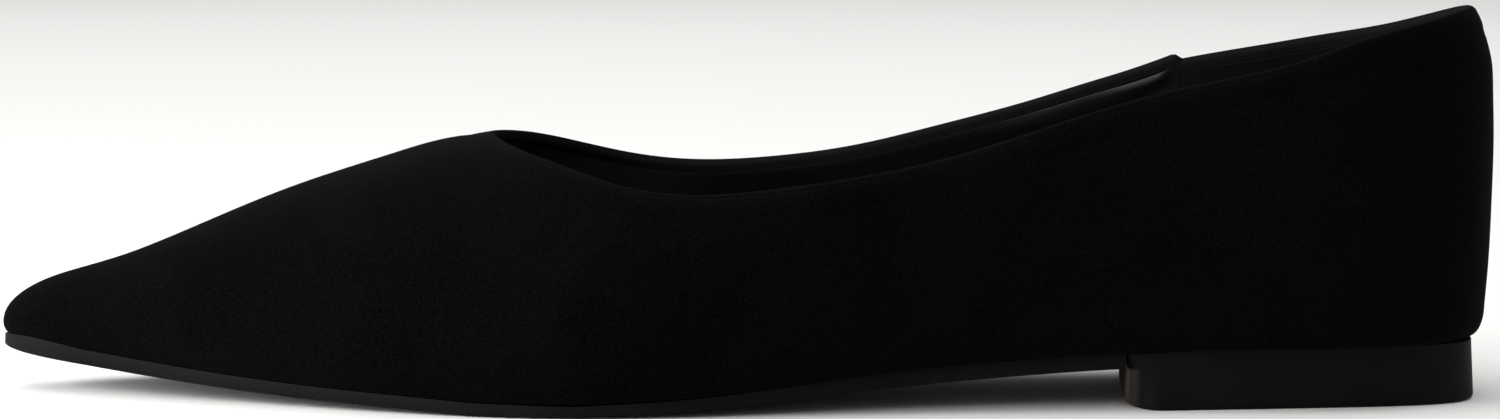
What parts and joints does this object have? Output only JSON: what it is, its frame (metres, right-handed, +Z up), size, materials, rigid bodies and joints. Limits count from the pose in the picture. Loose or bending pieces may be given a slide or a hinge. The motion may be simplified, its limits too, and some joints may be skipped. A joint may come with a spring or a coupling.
{
  "type": "ballet flat",
  "caption": "Pointed ballet flat for the left foot: hollow suede upper open at collar and throat, thin arched outsole with toe spring, low heel block and insole.",
  "frame": {"origin": "on the floor under the middle of the shoe's box", "axes": "+X from the toe to the heel, +Y to the inner side of the foot, +Z up"},
  "size_m": [0.2596, 0.0762, 0.0671],
  "materials": {
    "suede": "short matt nap, black",
    "sole_rubber": "moulded, satin black",
    "heel_rubber": "moulded, satin black",
    "insole_board": "smooth black sock over board"
  },
  "bodies": {
    "root": {"upper": "suede", "outsole": "sole_rubber", "heel_block": "heel_rubber", "insole": "insole_board"}
  },
  "joints": []
}
